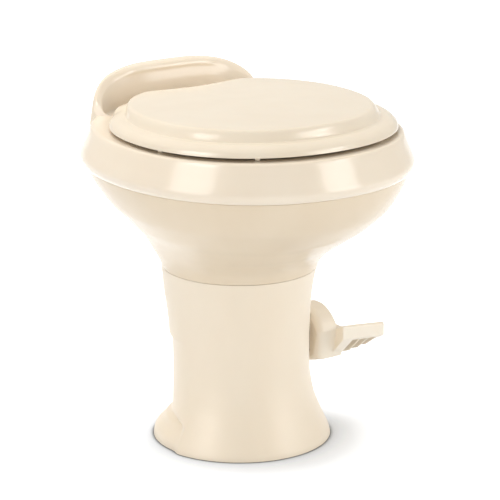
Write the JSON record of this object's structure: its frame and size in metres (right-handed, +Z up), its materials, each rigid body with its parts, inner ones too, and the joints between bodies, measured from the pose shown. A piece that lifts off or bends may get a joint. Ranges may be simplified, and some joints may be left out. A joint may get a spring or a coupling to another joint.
{
  "type": "rv toilet",
  "caption": "Gravity-flush toilet for a recreational vehicle: round pedestal, flared bowl, ring with a rear hood, hinged seat and lid, and a side foot pedal that opens a ball valve.",
  "frame": {"origin": "on the floor, under the middle of the upper ring, which is the middle of the outline", "axes": "+Z up, -Y to the front, +X to the pedal's side, which is the toilet's right"},
  "size_m": [0.4056, 0.4377, 0.4681],
  "materials": {
    "base_plastic": "moulded, soft gloss",
    "cover_plastic": "moulded, gloss",
    "ring_plastic": "moulded, gloss",
    "bowl_gloss": "moulded, high gloss",
    "seat_plastic": "moulded, soft gloss",
    "lid_plastic": "moulded, soft gloss",
    "pedal_plastic": "moulded, satin",
    "hinge_plastic": "moulded, satin",
    "bumper_plastic": "soft moulded, matt",
    "ball_plastic": "moulded, satin",
    "nylon": "moulded, matt black",
    "bush_nylon": "moulded, matt",
    "rubber": "matt",
    "hose_rubber": "matt grey",
    "zinc_steel": "zinc plated",
    "shaft_steel": "ground",
    "spring_steel": "drawn wire"
  },
  "bodies": {
    "frame": {"base_pedestal": "base_plastic", "bowl_cover": "cover_plastic", "rim_shell": "ring_plastic", "inner_bowl": "bowl_gloss", "valve_housing": "nylon", "bowl_seal": "rubber", "floor_seal": "rubber", "shaft_bush_inner": "bush_nylon", "shaft_bush_outer": "bush_nylon", "pivot_bush": "bush_nylon", "spring_cartridge": "nylon", "return_spring": "spring_steel", "water_valve": "nylon", "valve_cap": "nylon", "inlet_fitting": "nylon", "vacuum_breaker": "nylon", "breaker_cap": "nylon", "supply_hose": "hose_rubber", "wash_hose": "hose_rubber", "rim_nozzle": "nylon", "bowl_screw_1": "zinc_steel", "hose_clamp_1": "zinc_steel", "bowl_screw_2": "zinc_steel", "hose_clamp_2": "zinc_steel", "bowl_screw_3": "zinc_steel", "hose_clamp_3": "zinc_steel", "bowl_screw_4": "zinc_steel", "hose_clamp_4": "zinc_steel", "hinge_post_left": "hinge_plastic", "hinge_pin_left": "zinc_steel", "hinge_nut_left": "nylon", "hinge_post_right": "hinge_plastic", "hinge_pin_right": "zinc_steel", "hinge_nut_right": "nylon"},
    "pedal_assembly": {"pedal": "pedal_plastic", "pedal_screw": "zinc_steel", "drive_shaft": "shaft_steel", "pivot_pin": "shaft_steel", "flush_ball": "ball_plastic", "valve_cam": "nylon"},
    "seat_assembly": {"seat": "seat_plastic", "seat_bumper_front_left": "bumper_plastic", "seat_bumper_front_right": "bumper_plastic", "seat_bumper_side_left": "bumper_plastic", "seat_bumper_side_right": "bumper_plastic"},
    "lid_assembly": {"lid": "lid_plastic", "lid_bumper_front_left": "bumper_plastic", "lid_bumper_front_right": "bumper_plastic", "lid_bumper_side_left": "bumper_plastic", "lid_bumper_side_right": "bumper_plastic"},
    "plunger": {"valve_plunger": "shaft_steel"},
    "piston": {"valve_piston": "ball_plastic"},
    "float": {"breaker_float": "ball_plastic"}
  },
  "joints": [
    {"name": "pedal_flush", "type": "hinge", "parent": "frame", "child": "pedal_assembly", "pos_m": [0, 0.0152, 0.109], "axis": [1, 0, 0], "range_deg": [0, 80], "stiffness_Nm_per_rad": 0.9, "springref_deg": -51.57},
    {"name": "seat_hinge", "type": "hinge", "parent": "frame", "child": "seat_assembly", "pos_m": [0, 0.133, 0.4245], "axis": [-1, 0, 0], "range_deg": [0, 90]},
    {"name": "lid_hinge", "type": "hinge", "parent": "seat_assembly", "child": "lid_assembly", "pos_m": [0, 0.133, 0.4245], "axis": [1, 0, 0], "range_deg": [-95, 0]},
    {"name": "valve_plunger_lift", "type": "slide", "parent": "frame", "child": "plunger", "axis": [0, 0, 1], "range_m": [0, 0.0061]},
    {"name": "valve_piston_lift", "type": "slide", "parent": "frame", "child": "piston", "axis": [0, 0, 1], "range_m": [0, 0.002]},
    {"name": "breaker_float_rise", "type": "slide", "parent": "frame", "child": "float", "axis": [0, 0, 1], "range_m": [0, 0.0025]}
  ],
  "couplings": [
    {"joint": "valve_plunger_lift", "follows": "pedal_flush", "m_per_rad": 0.0042972}
  ]
}
